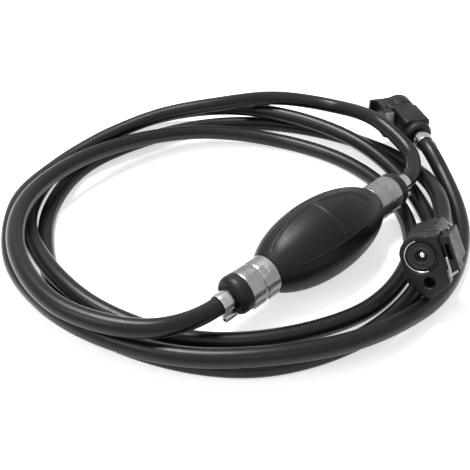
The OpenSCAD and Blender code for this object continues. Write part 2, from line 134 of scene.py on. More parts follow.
def bumpFrom(tree, shader, heights, strength, distance):
    # Bumps from one or more height outputs, laid one on another.
    normal = None
    for height in heights:
        links = {"Height": height}
        if normal is not None:
            links["Normal"] = normal
        bump = addNode(tree, "ShaderNodeBump", {"Strength": strength, "Distance": distance}, links)
        normal = bump.outputs[0]
    tree.links.new(normal, shader.inputs["Normal"])


def bulbRubber():
    # Nitrile rubber, compression moulded: near black, a broad soft gleam, a faint pebble and dust.
    material, tree, shader = startMaterial(
        "nitrileRubberMoulded", **{"Roughness": 0.4, "IOR": 1.52, "Specular IOR Level": 0.16})
    place = addNode(tree, "ShaderNodeTexCoord").outputs["Object"]
    colourByNoise(tree, shader, place, 22.0, "#0f0f10", "#151516")
    roughnessByNoise(tree, shader, place, 60.0, 0.36, 0.47)
    pebble = noiseOver(tree, place, 900.0)
    wave = noiseOver(tree, place, 70.0)
    bumpFrom(tree, shader, [pebble, wave], 0.25, 0.00012)
    return material


def hoseRubber():
    # Extruded nitrile fuel hose: smooth black skin with fine draw lines along it.
    material, tree, shader = startMaterial(
        "nitrileHoseExtruded", **{"Roughness": 0.3, "IOR": 1.5, "Specular IOR Level": 0.2})
    uv = addNode(tree, "ShaderNodeTexCoord").outputs["UV"]
    along = addNode(tree, "ShaderNodeMapping", {"Scale": (1.0, 14.0, 1.0)}, {"Vector": uv}).outputs[0]
    colourByNoise(tree, shader, along, 5.0, "#0f0f10", "#151517")
    roughnessByNoise(tree, shader, along, 7.0, 0.27, 0.38)
    lines = addNode(tree, "ShaderNodeMapping", {"Scale": (60.0, 1.2, 1.0)}, {"Vector": uv}).outputs[0]
    drawn = noiseOver(tree, lines, 1.0)
    swell = noiseOver(tree, along, 3.0)
    bumpFrom(tree, shader, [drawn, swell], 0.3, 0.00012)
    return material


def nylonMoulded():
    # Glass-filled nylon, injection moulded: black, satin, with a fine spark-eroded grain.
    material, tree, shader = startMaterial(
        "glassFilledNylonMoulded", **{"Roughness": 0.45, "IOR": 1.53, "Specular IOR Level": 0.18})
    place = addNode(tree, "ShaderNodeTexCoord").outputs["Object"]
    colourByNoise(tree, shader, place, 45.0, "#101011", "#181819")
    roughnessByNoise(tree, shader, place, 120.0, 0.38, 0.52)
    grain = noiseOver(tree, place, 1500.0)
    sink = noiseOver(tree, place, 90.0, 1.0)
    bumpFrom(tree, shader, [grain, sink], 0.3, 0.0001)
    return material


def zincSteel():
    # Mild steel, stamped and bright zinc plated: pale grey, slightly cloudy, small press marks.
    material, tree, shader = startMaterial("brightZincPlatedSteel", Metallic=1.0, Roughness=0.3)
    place = addNode(tree, "ShaderNodeTexCoord").outputs["Object"]
    colourByNoise(tree, shader, place, 60.0, "#7e7e7d", "#979796")
    roughnessByNoise(tree, shader, place, 120.0, 0.24, 0.36)
    press = noiseOver(tree, place, 240.0, 3.0)
    dent = noiseOver(tree, place, 70.0, 1.0)
    bumpFrom(tree, shader, [press, dent], 0.3, 0.00004)
    return material


def stainlessBand():
    # Cold-rolled stainless band: brighter, with fine rolling lines round the band.
    material, tree, shader = startMaterial("coldRolledStainless", Metallic=1.0, Roughness=0.2)
    place = addNode(tree, "ShaderNodeTexCoord").outputs["Object"]
    colourByNoise(tree, shader, place, 90.0, "#a0a09f", "#bbbbba")
    roughnessByNoise(tree, shader, place, 200.0, 0.16, 0.27)
    rolled = noiseOver(tree, place, 320.0)
    bumpFrom(tree, shader, [rolled], 0.2, 0.00004)
    return material


def springSteel():
    # Hardened carbon steel wire and strip: darker grey, a thin oil sheen.
    material, tree, shader = startMaterial("hardenedSpringSteel", Metallic=1.0, Roughness=0.3)
    place = addNode(tree, "ShaderNodeTexCoord").outputs["Object"]
    colourByNoise(tree, shader, place, 200.0, "#9d9da0", "#bcbcbd")
    roughnessByNoise(tree, shader, place, 200.0, 0.24, 0.38)
    return material


def ballSteel():
    # Ground and polished bearing steel: almost a mirror, with the faintest haze.
    material, tree, shader = startMaterial("polishedBearingSteel", Metallic=1.0, Roughness=0.28)
    place = addNode(tree, "ShaderNodeTexCoord").outputs["Object"]
    colourByNoise(tree, shader, place, 60.0, "#d6d6d4", "#e6e6e4")
    roughnessByNoise(tree, shader, place, 400.0, 0.24, 0.34)
    return material


def sealRubber():
    # Fluorocarbon rubber, moulded: dull black, softer than the nylon round it.
    material, tree, shader = startMaterial(
        "fluorocarbonRubber", **{"Roughness": 0.55, "IOR": 1.5, "Specular IOR Level": 0.25})
    place = addNode(tree, "ShaderNodeTexCoord").outputs["Object"]
    colourByNoise(tree, shader, place, 110.0, "#1b1b1c", "#262628")
    roughnessByNoise(tree, shader, place, 300.0, 0.48, 0.62)
    skin = noiseOver(tree, place, 1200.0)
    bumpFrom(tree, shader, [skin], 0.3, 0.0001)
    return material


def turnedBrass():
    # Free-cutting brass, turned: warm yellow with fine rings from the tool.
    material, tree, shader = startMaterial("turnedBrass", Metallic=1.0, Roughness=0.28)
    place = addNode(tree, "ShaderNodeTexCoord").outputs["Object"]
    colourByNoise(tree, shader, place, 120.0, "#b08d4a", "#c9a660")
    roughnessByNoise(tree, shader, place, 260.0, 0.22, 0.34)
    return material


def acetalMoulded():
    # Natural acetal, moulded: milky white and slightly waxy.
    material, tree, shader = startMaterial("naturalAcetal", Roughness=0.4, IOR=1.48)
    place = addNode(tree, "ShaderNodeTexCoord").outputs["Object"]
    colourByNoise(tree, shader, place, 80.0, "#d6d2c4", "#e4e1d6")
    roughnessByNoise(tree, shader, place, 150.0, 0.34, 0.46)
    return material


finishes = {
    "bulb_rubber": bulbRubber(),
    "hose_rubber": hoseRubber(),
    "seal_rubber": sealRubber(),
    "black_plastic": nylonMoulded(),
    "valve_plastic": acetalMoulded(),
    "zinc_steel": zincSteel(),
    "clamp_steel": stainlessBand(),
    "spring_steel": springSteel(),
    "ball_steel": ballSteel(),
    "brass": turnedBrass(),
}
print("materials made:", len(finishes))


def gridShell(points, closeRows=True, run=None):
    # Quads through a rows-by-columns grid of points, each row closed on itself; run is each
    # row's distance along, for the UV map.
    rows, columns = points.shape[:2]
    i, j = np.meshgrid(np.arange(rows if closeRows else rows - 1), np.arange(columns), indexing="ij")
    i, j = i.ravel(), j.ravel()
    nextI, nextJ = (i + 1) % rows, (j + 1) % columns
    faces = np.stack([i * columns + j, i * columns + nextJ,
                      nextI * columns + nextJ, nextI * columns + j], -1)
    if run is None:
        run = np.arange(rows) * 1.0
    across = np.stack([j, j + 1, j + 1, j], -1) / columns
    along = np.stack([run[i], run[i], run[nextI], run[nextI]], -1)
    return {"points": points.reshape(-1, 3), "faces": faces.tolist(),
            "uv": np.stack([across, along], -1).reshape(-1, 2)}


def capped(shell, columns):
    # Closes a tube-like shell, whose rows are left open, with one face at each end.
    count = len(shell["points"])
    ends = [list(range(columns))[::-1], list(range(count - columns, count))]
    shell["faces"] += ends
    shell["uv"] = np.vstack([shell["uv"], np.zeros((2 * columns, 2))])
    return shell


def turnOutwards(mesh):
    build = bmesh.new()
    build.from_mesh(mesh)
    bmesh.ops.recalc_face_normals(build, faces=build.faces)
    build.to_mesh(mesh)
    build.free()


def makePiece(name, shells, finish, nodes=(), body=setBody, sharpAngle=34.0):
    # One object from several closed shells; faces are turned outwards, and hard edges are marked.
    points, faces, uv, base = [], [], [], 0
    for shell in shells:
        points.append(shell["points"])
        faces += [[base + k for k in face] for face in shell["faces"]]
        uv.append(shell["uv"])
        base += len(shell["points"])
    mesh = bpy.data.meshes.new(name)
    mesh.from_pydata(np.vstack(points).tolist(), [], faces)
    layer = mesh.uv_layers.new(name="along")
    layer.data.foreach_set("uv", np.vstack(uv).astype(np.float32).ravel())
    turnOutwards(mesh)
    return finishPiece(bpy.data.objects.new(name, mesh), finish, nodes, body, sharpAngle)


def finishPiece(piece, finish, nodes, body, sharpAngle):
    # Material, shading, body, slot and the solids that the piece stands for.
    piece.data.materials.clear()
    piece.data.materials.append(finishes[finish])
    piece.data.shade_smooth()
    piece.data.set_sharp_from_angle(angle=math.radians(sharpAngle))
    if piece.name not in bpy.context.scene.collection.objects:
        bpy.context.scene.collection.objects.link(piece)
    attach(piece, body)
    if nodes:
        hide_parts(*nodes)
    return piece


def softCorners(points, cut, steps=4):
    # Rounds each corner of a closed outline: a short parabola from one neighbour edge to the other.
    points = np.asarray(points, float)
    before, after = np.roll(points, 1, 0) - points, np.roll(points, -1, 0) - points
    reach = [np.minimum(cut, 0.49 * np.linalg.norm(v, axis=1)) / np.linalg.norm(v, axis=1)
             for v in (before, after)]
    start, end = points + before * reach[0][:, None], points + after * reach[1][:, None]
    t = np.linspace(0, 1, steps + 1)[None, :, None]
    curve = ((1 - t) ** 2 * start[:, None] + 2 * t * (1 - t) * points[:, None] + t ** 2 * end[:, None])
    return curve.reshape(-1, points.shape[1])


def turned(profile, origin, axes, sides=72):
    # A closed profile of (radius, distance) carried once round the first of the axes.
    profile = np.asarray(profile, float)
    angle = np.linspace(0, 2 * pi, sides, endpoint=False)
    radius, along = profile[:, 0, None], profile[:, 1, None]
    local = np.stack([along + 0 * angle, radius * np.cos(angle), radius * np.sin(angle)], -1)
    return gridShell(local @ axes + np.array(origin))


def plate(outline, low, high, edge, place):
    # A flat outline (a, b) given thickness from low to high, its edges rounded; place maps (a, b, c).
    outline = np.asarray(outline, float)
    step = np.roll(outline, -1, 0) - outline
    step /= np.linalg.norm(step, axis=1)[:, None]
    normal = np.stack([step[:, 1], -step[:, 0]], -1)
    inward = -(normal + np.roll(normal, 1, 0))
    inward /= np.maximum(np.linalg.norm(inward, axis=1), 1e-9)[:, None]
    following = np.roll(outline, -1, 0)
    area = np.sum(outline[:, 0] * following[:, 1] - outline[:, 1] * following[:, 0])
    inward *= 1.0 if area > 0 else -1.0
    rows = [(low, edge), (low + 0.3 * edge, 0.3 * edge), (low + edge, 0),
            (high - edge, 0), (high - 0.3 * edge, 0.3 * edge), (high, edge)]
    points = np.stack([np.column_stack([outline + inset * inward, np.full(len(outline), level)])
                       for level, inset in rows])
    shell = capped(gridShell(points, closeRows=False), len(outline))
    shell["points"] = place(shell["points"])
    return shell


def acrossLine(ways, up):
    # The sideways and the upward direction at each point of a line.
    side = np.cross(up, ways)
    side /= np.linalg.norm(side, axis=1)[:, None]
    return side, np.cross(ways, side)


def carried(section, line, ways, up):
    # A flat closed section (a, b) carried along an open line; a runs sideways and b upwards.
    side, rise = acrossLine(ways, up)
    points = (line[:, None] + section[None, :, 0, None] * side[:, None]
              + section[None, :, 1, None] * rise[:, None])
    return capped(gridShell(points, closeRows=False), len(section))


def roundSection(radius, sides):
    angle = np.linspace(0, 2 * pi, sides, endpoint=False)
    return radius * np.stack([np.sin(angle), -np.cos(angle)], -1)


def directions(line):
    way = np.gradient(line, axis=0)
    return way / np.linalg.norm(way, axis=1)[:, None]


ports = {
    "tank": {"origin": (0.179, 0.0695, 0.0308), "heading": 59.0, "lift": 0.0, "roll": 0.0},
    "engine": {"origin": (0.0129, -0.0677, 0.0436), "heading": 198.0, "lift": 17.5, "roll": 32.0},
}
connectorLength = 0.050


def portAxes(name):
    # Rows: the way the face looks, the lever's side, and up, all in the row frame.
    port = ports[name]
    h, e, r = (math.radians(port[k]) for k in ("heading", "lift", "roll"))
    face = np.array([math.cos(e) * math.cos(h), math.cos(e) * math.sin(h), math.sin(e)])
    level = np.array([-math.sin(h), math.cos(h), 0.0])
    rise = np.cross(face, level)
    return np.array([face, level * math.cos(r) + rise * math.sin(r),
                     -level * math.sin(r) + rise * math.cos(r)])


def rearAxes(name):
    # The same rows with the first one looking back along the connector.
    return portAxes(name) * np.array([[-1.0], [1.0], [1.0]])


def onPort(name):
    # Maps points given in the port's own axes into the row frame.
    axes, origin = portAxes(name), np.array(ports[name]["origin"])
    return lambda points: np.asarray(points, float) @ axes + origin


def hoseEnd(name):
    return np.array(ports[name]["origin"]) - connectorLength * portAxes(name)[0]


hoses = {
    "radius": 0.006, "bore": 0.004, "sides": 24, "stub": 0.012, "samples": 16,
    "collarEnd": 0.085, "axisHeight": 0.027,
}

tankRoute = [
    (127, 15, 28), (140, 58, 37), (148, 112, 28), (117, 152, 32), (70, 179, 33), (26, 202, 30),
    (-24, 212, 25), (-77, 207, 21), (-124, 182, 23), (-155, 140, 16), (-163, 85, 15),
    (-155, 38, 17), (-131, -9, 18), (-94, -45, 19), (-48, -70, 17), (-8, -78, 12.5),
    (24, -78, 7.6), (52, -73, 6), (101, -49, 10), (134, -10, 21),
]
engineRoute = [
    (-133, 7, 31), (-165, 56, 33), (-158, 121, 34), (-124, 169, 31), (-63, 196, 26),
    (-6, 196, 21), (54, 174, 14), (97, 128, 7), (113, 70, 6), (99, 8, 6), (56, -38, 6),
    (-9, -53, 6), (-63, -35, 6), (-113, 5, 8), (-142, 60, 16), (-142, 122, 19),
    (-119, 179, 11), (-71, 220, 8), (-9, 238, 8), (51, 230, 9), (93, 188, 17),
    (121, 132, 19), (133, 72, 15), (116, 8, 10), (78, -42, 7), (19, -65, 6), (-42, -64, 6),
    (-98, -38, 6), (-136, 12, 6), (-152, 77, 6), (-134, 132, 6), (-98, 183, 6), (-45, 213, 6),
    (17, 210, 7), (80, 187, 6), (122, 143, 6), (145, 82, 7), (138, 27, 13), (102, -27, 23),
]


def hoseLine(route, side, port):
    # A cubic through the points, whose direction at each is the mean of the two chords
    # beside it, the nearer one counting more, with a straight stub at each end.
    startWay, endWay = np.array([side, 0.0, 0.0]), portAxes(port)[0]
    start = np.array([side * hoses["collarEnd"], 0.0, hoses["axisHeight"]])
    end = hoseEnd(port)
    stub = hoses["stub"]
    points = np.vstack([start + stub * startWay, np.array(route) * mm, end - stub * endWay])
    chord = np.diff(points, axis=0)
    size = np.linalg.norm(chord, axis=1)[:, None]
    unit = chord / size
    inner = (unit[:-1] * size[1:] + unit[1:] * size[:-1]) / (size[1:] + size[:-1])
    way = np.vstack([startWay, inner, endWay])
    t = (np.arange(hoses["samples"]) / hoses["samples"])[None, :, None]
    h = size[:, None]
    curve = (points[:-1, None] * (2 * t ** 3 - 3 * t ** 2 + 1)
             + way[:-1, None] * h * (t ** 3 - 2 * t ** 2 + t)
             + points[1:, None] * (3 * t ** 2 - 2 * t ** 3)
             + way[1:, None] * h * (t ** 3 - t ** 2))
    line = curve.reshape(-1, 3)
    line[:, 2] = np.maximum(line[:, 2], hoses["radius"])
    stubIn = start + np.linspace(0, 1, 4, endpoint=False)[:, None] * stub * startWay
    stubOut = points[-1] + np.linspace(0, 1, 5)[:, None] * stub * endWay
    return np.vstack([stubIn, line, stubOut])


def makeHose(name, line):
    # A round skin carried along the line, then the bore carried back, so that the wall is closed.
    side, rise = acrossLine(directions(line), (0.0, 0.0, 1.0))
    ring = roundSection(1.0, hoses["sides"])
    spokes = ring[None, :, 0, None] * side[:, None] + ring[None, :, 1, None] * rise[:, None]
    skin = line[:, None] + hoses["radius"] * spokes
    bore = line[:, None] + hoses["bore"] * spokes
    run = np.concatenate([[0.0], np.cumsum(np.linalg.norm(np.diff(line, axis=0), axis=1))])
    both = gridShell(np.concatenate([skin, bore[::-1]]), run=np.concatenate([run, run[::-1]]) * 10)
    return makePiece(name + "Piece", [both], "hose_rubber", [name], sharpAngle=50.0)


tankLine = hoseLine(tankRoute, 1.0, "tank")
engineLine = hoseLine(engineRoute, -1.0, "engine")
tankHose = makeHose("tank_hose", tankLine)
engineHose = makeHose("engine_hose", engineLine)


def lineLength(line):
    return float(np.linalg.norm(np.diff(line, axis=0), axis=1).sum())


print("hoses made: %.3f m and %.3f m" % (lineLength(tankLine), lineLength(engineLine)))


bulb = {
    "reach": 0.060, "radius": 0.027, "ferruleEnd": 0.076, "neck": 0.0122, "bore": 0.00905,
    "wall": 0.0036, "axisHeight": 0.027, "bellyEnd": 0.0523, "shoulder": 0.01275,
    "hollowEnd": 0.051, "hollowReach": 0.056,
    # the mould's lines: grooves with a low bank beside them, a band round and a ridge along
    "lineWidth": 0.0006, "depth": 0.0008, "rise": 0.0006, "bankShare": 0.45, "bankAt": 2.2,
    "bankWidth": 1.6, "bandAt": -0.003, "ridgeAt": 150.0,
}
# Moulded lines on one side: distance along the bulb in mm, and degrees round it.
mouldLines = [
    [(-48, 89), (-42, 82), (-35, 79), (-26, 77), (-15, 75), (-3, 75)],
    [(1, 77), (10, 80), (18, 84), (28, 90), (32, 104), (36, 120)],
    [(-16, 54), (-6, 54), (0, 55), (11, 68)],
]


def fade(value, low, high):
    # 0 below low, 1 above high, and smooth between them.
    t = np.clip((value - low) / (high - low), 0, 1)
    return t * t * (3 - 2 * t)


def bulbAngles():
    # Directions round the bulb, closer together where the mould has lines.
    half = np.concatenate([np.arange(0, 50, 2.5), np.arange(50, 124, 0.7), np.arange(124, 145, 2.5),
                           np.arange(145, 155, 0.6), np.arange(155, 180, 2.5)])
    return np.radians(np.concatenate([half, half + 180]))


def mouldRelief(x, reach, turn):
    # Height over the plain bulb: each line is a bell across its own curve, cut off at the
    # curve's ends, and the other side of the bulb repeats it half a turn round.
    height = 0
    width = bulb["lineWidth"]
    folded = turn % pi
    for line in mouldLines:
        at, angle = np.array(line, float).T
        course = np.radians(np.interp(x / mm, at, angle))
        slope = reach * np.gradient(course[:, 0], x[:, 0])[:, None]
        gap = (folded - course) * reach / np.sqrt(1 + slope ** 2)
        first, last = at[0] * mm, at[-1] * mm
        part = fade(x, first - 0.001, first + 0.002) * (1 - fade(x, last - 0.002, last + 0.001))
        bank = np.exp(-((gap - bulb["bankAt"] * width) / (bulb["bankWidth"] * width)) ** 2)
        groove = np.exp(-(gap / width) ** 2)
        height = height + part * bulb["depth"] * (bulb["bankShare"] * bank - groove)
    degrees = np.degrees(folded)
    across = fade(degrees, 75, 78) * (1 - fade(degrees, 146, 151))
    height = height + bulb["rise"] * across * np.exp(-((x - bulb["bandAt"]) / width) ** 2)
    gap = (folded - math.radians(bulb["ridgeAt"])) * reach
    part = fade(x, -0.044, -0.036) * (1 - fade(x, 0.010, 0.022))
    return height + bulb["rise"] * part * np.exp(-(gap / width) ** 2)


def makeBulb():
    # An ellipse turned round the bulb's axis from neck to neck, with the mould's shallow
    # lines on it, and the bore turned inside it.
    turn = bulbAngles()[None, :]
    end = bulb["bellyEnd"]
    # closer together at the band
    x = np.concatenate([np.linspace(-end, -0.0048, 75), np.linspace(-0.0044, -0.0016, 10),
                        np.linspace(-0.0012, end, 85)])[:, None]
    reach = bulb["radius"] * np.sqrt(1 - (x / bulb["reach"]) ** 2)
    belly = reach + mouldRelief(x, reach, turn)
    neck = np.array([[bulb["shoulder"], 0.05235], [bulb["neck"], 0.0524],
                     [bulb["neck"], bulb["ferruleEnd"]], [bulb["bore"], bulb["ferruleEnd"]],
                     [bulb["bore"], 0.0518]])
    inside = np.linspace(bulb["hollowEnd"], -bulb["hollowEnd"], 30)
    hollow = (bulb["radius"] - bulb["wall"]) * np.sqrt(1 - (inside / bulb["hollowReach"]) ** 2)
    ends = np.ones_like(turn)
    radii = np.vstack([belly, neck[:, :1] * ends, hollow[:, None] * ends, neck[::-1, :1] * ends])
    places = np.concatenate([x[:, 0], neck[:, 1], inside, -neck[::-1, 1]])[:, None] * ends
    grid = np.stack([places, radii * np.cos(turn), radii * np.sin(turn) + bulb["axisHeight"]], -1)
    return makePiece("bulbPiece", [gridShell(grid)], "bulb_rubber", ["bulb"], sharpAngle=60.0)


bulbPiece = makeBulb()
print("bulb made")


ferrule = {
    # place along the bulb's axis and radius, in mm, with the step's groove at 64
    "profile": [(52.5, 12.75), (52.6, 13.10), (52.9, 13.23), (53.4, 13.25), (54.5, 13.20), (56.0, 13.18),
                (58.4, 13.16), (58.7, 13.16), (59.0, 13.16), (61.5, 13.14), (62.5, 13.12), (63.2, 13.05),
                (63.6, 12.80), (64.0, 12.72), (64.6, 12.80), (65.2, 13.02), (66.0, 13.08), (66.8, 13.10),
                (67.2, 13.10), (67.6, 13.10), (70.0, 13.10), (72.5, 13.10), (74.5, 13.08), (75.2, 13.02),
                (75.7, 12.95), (75.9, 12.85), (76.0, 12.60)],
    "inner": 0.01226, "outer": 0.01325, "start": 0.0525, "end": 0.076, "sides": 160,
    "stampTurn": 118.0, "stampWide": 24.0, "stampFrom": 0.0585, "stampTo": 0.0675,
    "stampDepth": 0.0004, "stampEdge": 0.0003, "stampEdgeTurn": 1.5,
    "ripples": 7, "rippleDepth": 0.00005, "rippleFrom": 0.064, "rippleTo": 0.066,
    "seamBars": ((0.0531, 0.0620), (0.0653, 0.0752)), "seamTurn": 210.0, "seamWide": 0.0048,
    "seamRise": 0.0008, "seamFoot": 0.0122, "seamCorner": 0.0009, "seamEdge": 0.00035,
}


def makeFerrule(name, side):
    # A sleeve in two steps turned round the bulb's axis; a rectangle is pressed into it, and
    # the folded seam stands out as two low flat-topped bars along it.
    f = ferrule
    x, r = np.array(f["profile"]).T * mm
    angle = np.linspace(0, 2 * pi, f["sides"], endpoint=False)
    degrees = np.degrees(angle)[None, :]
    along = x[:, None]
    edge, half, edgeTurn = f["stampEdge"], f["stampWide"] / 2, f["stampEdgeTurn"]
    inStamp = (fade(along, f["stampFrom"] - edge, f["stampFrom"] + edge)
               * (1 - fade(along, f["stampTo"] - edge, f["stampTo"] + edge)))
    gap = np.abs((degrees - f["stampTurn"] + 180) % 360 - 180)
    radius = r[:, None] - f["stampDepth"] * inStamp * (1 - fade(gap, half - edgeTurn, half + edgeTurn))
    radius += (f["rippleDepth"] * np.sin(np.radians(degrees * f["ripples"]))
               * fade(along, f["rippleFrom"], f["rippleTo"]))
    inner = np.array([[f["inner"], f["end"]], [f["inner"], f["start"]]])
    radii = np.vstack([radius, inner[:, 0, None] + 0 * degrees])
    places = side * np.concatenate([x, inner[:, 1]])[:, None] + 0 * degrees
    grid = np.stack([places, radii * np.cos(angle), radii * np.sin(angle) + bulb["axisHeight"]], -1)
    shells = [gridShell(grid)]
    turn = math.radians(f["seamTurn"])
    out = np.array([0, math.cos(turn), math.sin(turn)])
    across = np.array([0, -math.sin(turn), math.cos(turn)])
    wide = f["seamWide"] / 2
    for low, high in f["seamBars"]:
        outline = softCorners([(low, -wide), (high, -wide), (high, wide), (low, wide)], f["seamCorner"], 3)
        shells.append(plate(outline, f["seamFoot"], f["outer"] + f["seamRise"], f["seamEdge"],
                            lambda p: (p[:, 0, None] * np.array([side, 0, 0]) + p[:, 1, None] * across
                                       + p[:, 2, None] * out + np.array([0, 0, bulb["axisHeight"]]))))
    return makePiece(name + "Piece", shells, "zinc_steel", [name], sharpAngle=40.0)


collar = {
    "radius": 13.1, "start": 76.0, "end": 85.0, "spigot": 9.0, "tip": 54.0, "insert": 7.55,
    "cage": 58.4, "chamber": 4.8, "inletChamberEnd": 68.0, "outletChamberEnd": 70.2, "throat": 71.0,
    "bore": 2.3, "root": 3.3, "tooth": 3.9, "teeth": (88.0, 91.0, 94.0), "barb": 96.5, "barbTip": 3.1,
    # radius and place of the rounded rim and the dished face
    "rim": [(13.1, 81.2), (12.3, 83.3), (10.9, 84.6), (9.6, 85.0), (9.0, 83.8), (7.7, 83.8),
            (7.2, 85.0), (6.2, 85.0)],
}


def makeValveBody(name, side):
    # The valve body's outline, from spigot over collar and dished face to barb, turned round.
    c = collar
    rimStart = c["start"] + 0.05
    rim = softCorners([(c["radius"], rimStart)] + c["rim"], 0.5, 3)[2:-4]
    barb = [(c["root"], c["end"])]
    for tooth in c["teeth"]:
        barb += [(c["root"], tooth), (c["tooth"], tooth)]
    barb += [(c["barbTip"], c["barb"]), (c["bore"], c["barb"])]
    chamberEnd = c["inletChamberEnd"] if side > 0 else c["outletChamberEnd"]
    seat = [(c["bore"], c["throat"]), (c["chamber"], chamberEnd), (c["chamber"], c["cage"]),
            (c["insert"], c["cage"]), (c["insert"], c["tip"]), (c["spigot"], c["tip"]),
            (c["spigot"], c["start"])]
    foot = [(c["spigot"], rimStart), (c["radius"] - 0.2, c["start"] + 0.02)]
    profile = np.vstack([foot, rim, barb, seat]) * mm
    axes = np.array([[side, 0, 0], [0, 1.0, 0], [0, 0, side]])
    return makePiece(name + "Piece", [turned(profile, (0, 0, bulb["axisHeight"]), axes, 96)],
                     "black_plastic", [name], sharpAngle=30.0)


for end, side in (("inlet", 1.0), ("outlet", -1.0)):
    makeFerrule(end + "_ferrule", side)
for end, side in (("inlet", 1.0), ("outlet", -1.0)):
    makeValveBody(end + "_valve_body", side)
print("ferrules and valve bodies made")


clamp = {
    "inner": 6.08, "outer": 7.1, "width": 9.6, "earRadius": 2.4, "earHole": 1.4, "earAt": 9.2,
    "neck": [(6.6, -1.5), (8.6, -0.9), (8.6, 0.9), (6.6, 1.5)],
    "tongueFrom": 35, "tongueTo": 105, "tongueRise": 0.14,
    "bulbStarts": (0.0852, -0.0948), "capGap": 0.0016,
}


def bandWall(inner, outer, corner, steps):
    # The wall of a tube as wide as the band, with rounded edges.
    width = clamp["width"]
    return softCorners([(inner, 0), (outer, 0), (outer, width), (inner, width)], corner, steps) * mm


def clampShells(origin, axes, earTurn):
    # A band with rounded edges turned round the hose, an overlapping tongue on it,
    # and a folded ear: a small tube along the band, joined to it by a pinched neck.
    c = clamp
    width = c["width"]
    band = bandWall(c["inner"], c["outer"], 0.35, 3)
    turn = math.radians(earTurn)
    earWay = math.cos(turn) * axes[1] + math.sin(turn) * axes[2]
    earSide = -math.sin(turn) * axes[1] + math.cos(turn) * axes[2]
    earAxes = np.array([axes[0], earWay, earSide])
    ear = bandWall(c["earHole"], c["earRadius"], 0.25, 2)
    earOrigin = np.array(origin) + c["earAt"] * mm * earWay
    neck = softCorners(c["neck"], 0.3, 2) * mm
    shells = [turned(band, origin, axes, 96), turned(ear, earOrigin, earAxes, 28),
              plate(neck, 0.0, width * mm, 0.0003,
                    lambda p: np.array(origin) + p[:, 0, None] * earWay + p[:, 1, None] * earSide
                    + p[:, 2, None] * axes[0])]
    angle = np.radians(np.linspace(c["tongueFrom"], c["tongueTo"], 24)) + turn
    low, high = c["outer"] - 0.2, c["outer"] + c["tongueRise"]
    arc = [np.stack([np.full(24, a), r * np.cos(angle), r * np.sin(angle)], -1) * mm
           for a, r in ((1.2, low), (1.5, high), (width - 1.5, high), (width - 1.2, low))]
    tongue = np.stack(arc, 1) @ axes + np.array(origin)
    shells.append(capped(gridShell(tongue, closeRows=False), 4))
    return shells


def bulbClamps():
    shells = []
    for start in clamp["bulbStarts"]:
        shells += clampShells((start, 0, bulb["axisHeight"]), np.eye(3), -130.0)
    return makePiece("bulbClampsPiece", shells, "clamp_steel", ["bulb_clamps"])


def connectorClamp(port, earTurn):
    origin = hoseEnd(port) - clamp["capGap"] * portAxes(port)[0]
    shells = clampShells(origin, rearAxes(port), earTurn)
    return makePiece(port + "ClampPiece", shells, "clamp_steel", ["connector_clamps"])


bulbClamps()
tankClamp = connectorClamp("tank", -160.0)
engineClamp = connectorClamp("engine", -70.0)
print("clamps made")


head = {
    "outline": [(-13.6, 4), (-13.6, -15), (-5.2, -27.2), (-1.5, -27.4), (12.3, -21.4), (12.3, -12.6),
                (13.6, -11.6)],
    "radius": 13.6, "corner": 11.6, "depth": 14.0, "tabDepth": 10.5, "bodyHalf": 10.7, "bodyRise": 12.0,
    "socket": 10.9, "socketDepth": 2.0, "bore": 8.9, "boreEnd": 20.1, "stem": 4.5,
    "rear": 43.4, "guideDrop": 17.4, "guideRadius": 3.55, "guideDepth": 9.0, "columns": 180,
    "ribs": 5, "ribStart": -22.0, "ribPitch": 4.0, "ribWide": 1.6, "ribHalf": 8.0,
    "pivotBack": -17.5, "pivotOut": 16.4, "lugRadius": 2.4, "lugStarts": (5.4, -8.4), "lugWide": 3.0,
}


def spokeLengths(outline, angle):
    # How far an outline round the origin lies in each direction.
    dense = np.concatenate([np.linspace(a, b, 24, endpoint=False)
                            for a, b in zip(outline, np.roll(outline, -1, 0))])
    way = np.arctan2(dense[:, 1], dense[:, 0])
    order = np.argsort(way)
    return np.interp(angle, way[order], np.linalg.norm(dense, axis=1)[order], period=2 * pi)


def headOutlines(angle):
    # Spokes of the full head, of the head without its lower tab, and of the body.
    arc = np.radians(np.linspace(62, 163, 24))
    top = head["radius"] * np.stack([np.cos(arc), np.sin(arc)], -1)
    wide, corner = head["radius"], head["corner"]
    low = [(wide, corner), (3, corner)]
    full = np.vstack([top, softCorners(head["outline"] + low, 2.0, 5)[6:-6]])
    noTab = [(-wide, 4), (-wide, -12), (wide, -12)]
    short = np.vstack([top, softCorners(noTab + low, 2.0, 5)[6:-6]])
    w, h = head["bodyHalf"], head["bodyRise"]
    box = softCorners([(w, -h), (w, h), (-w, h), (-w, -h)], 3.6, 6)
    return [spokeLengths(o, angle) for o in (full, short, box)]


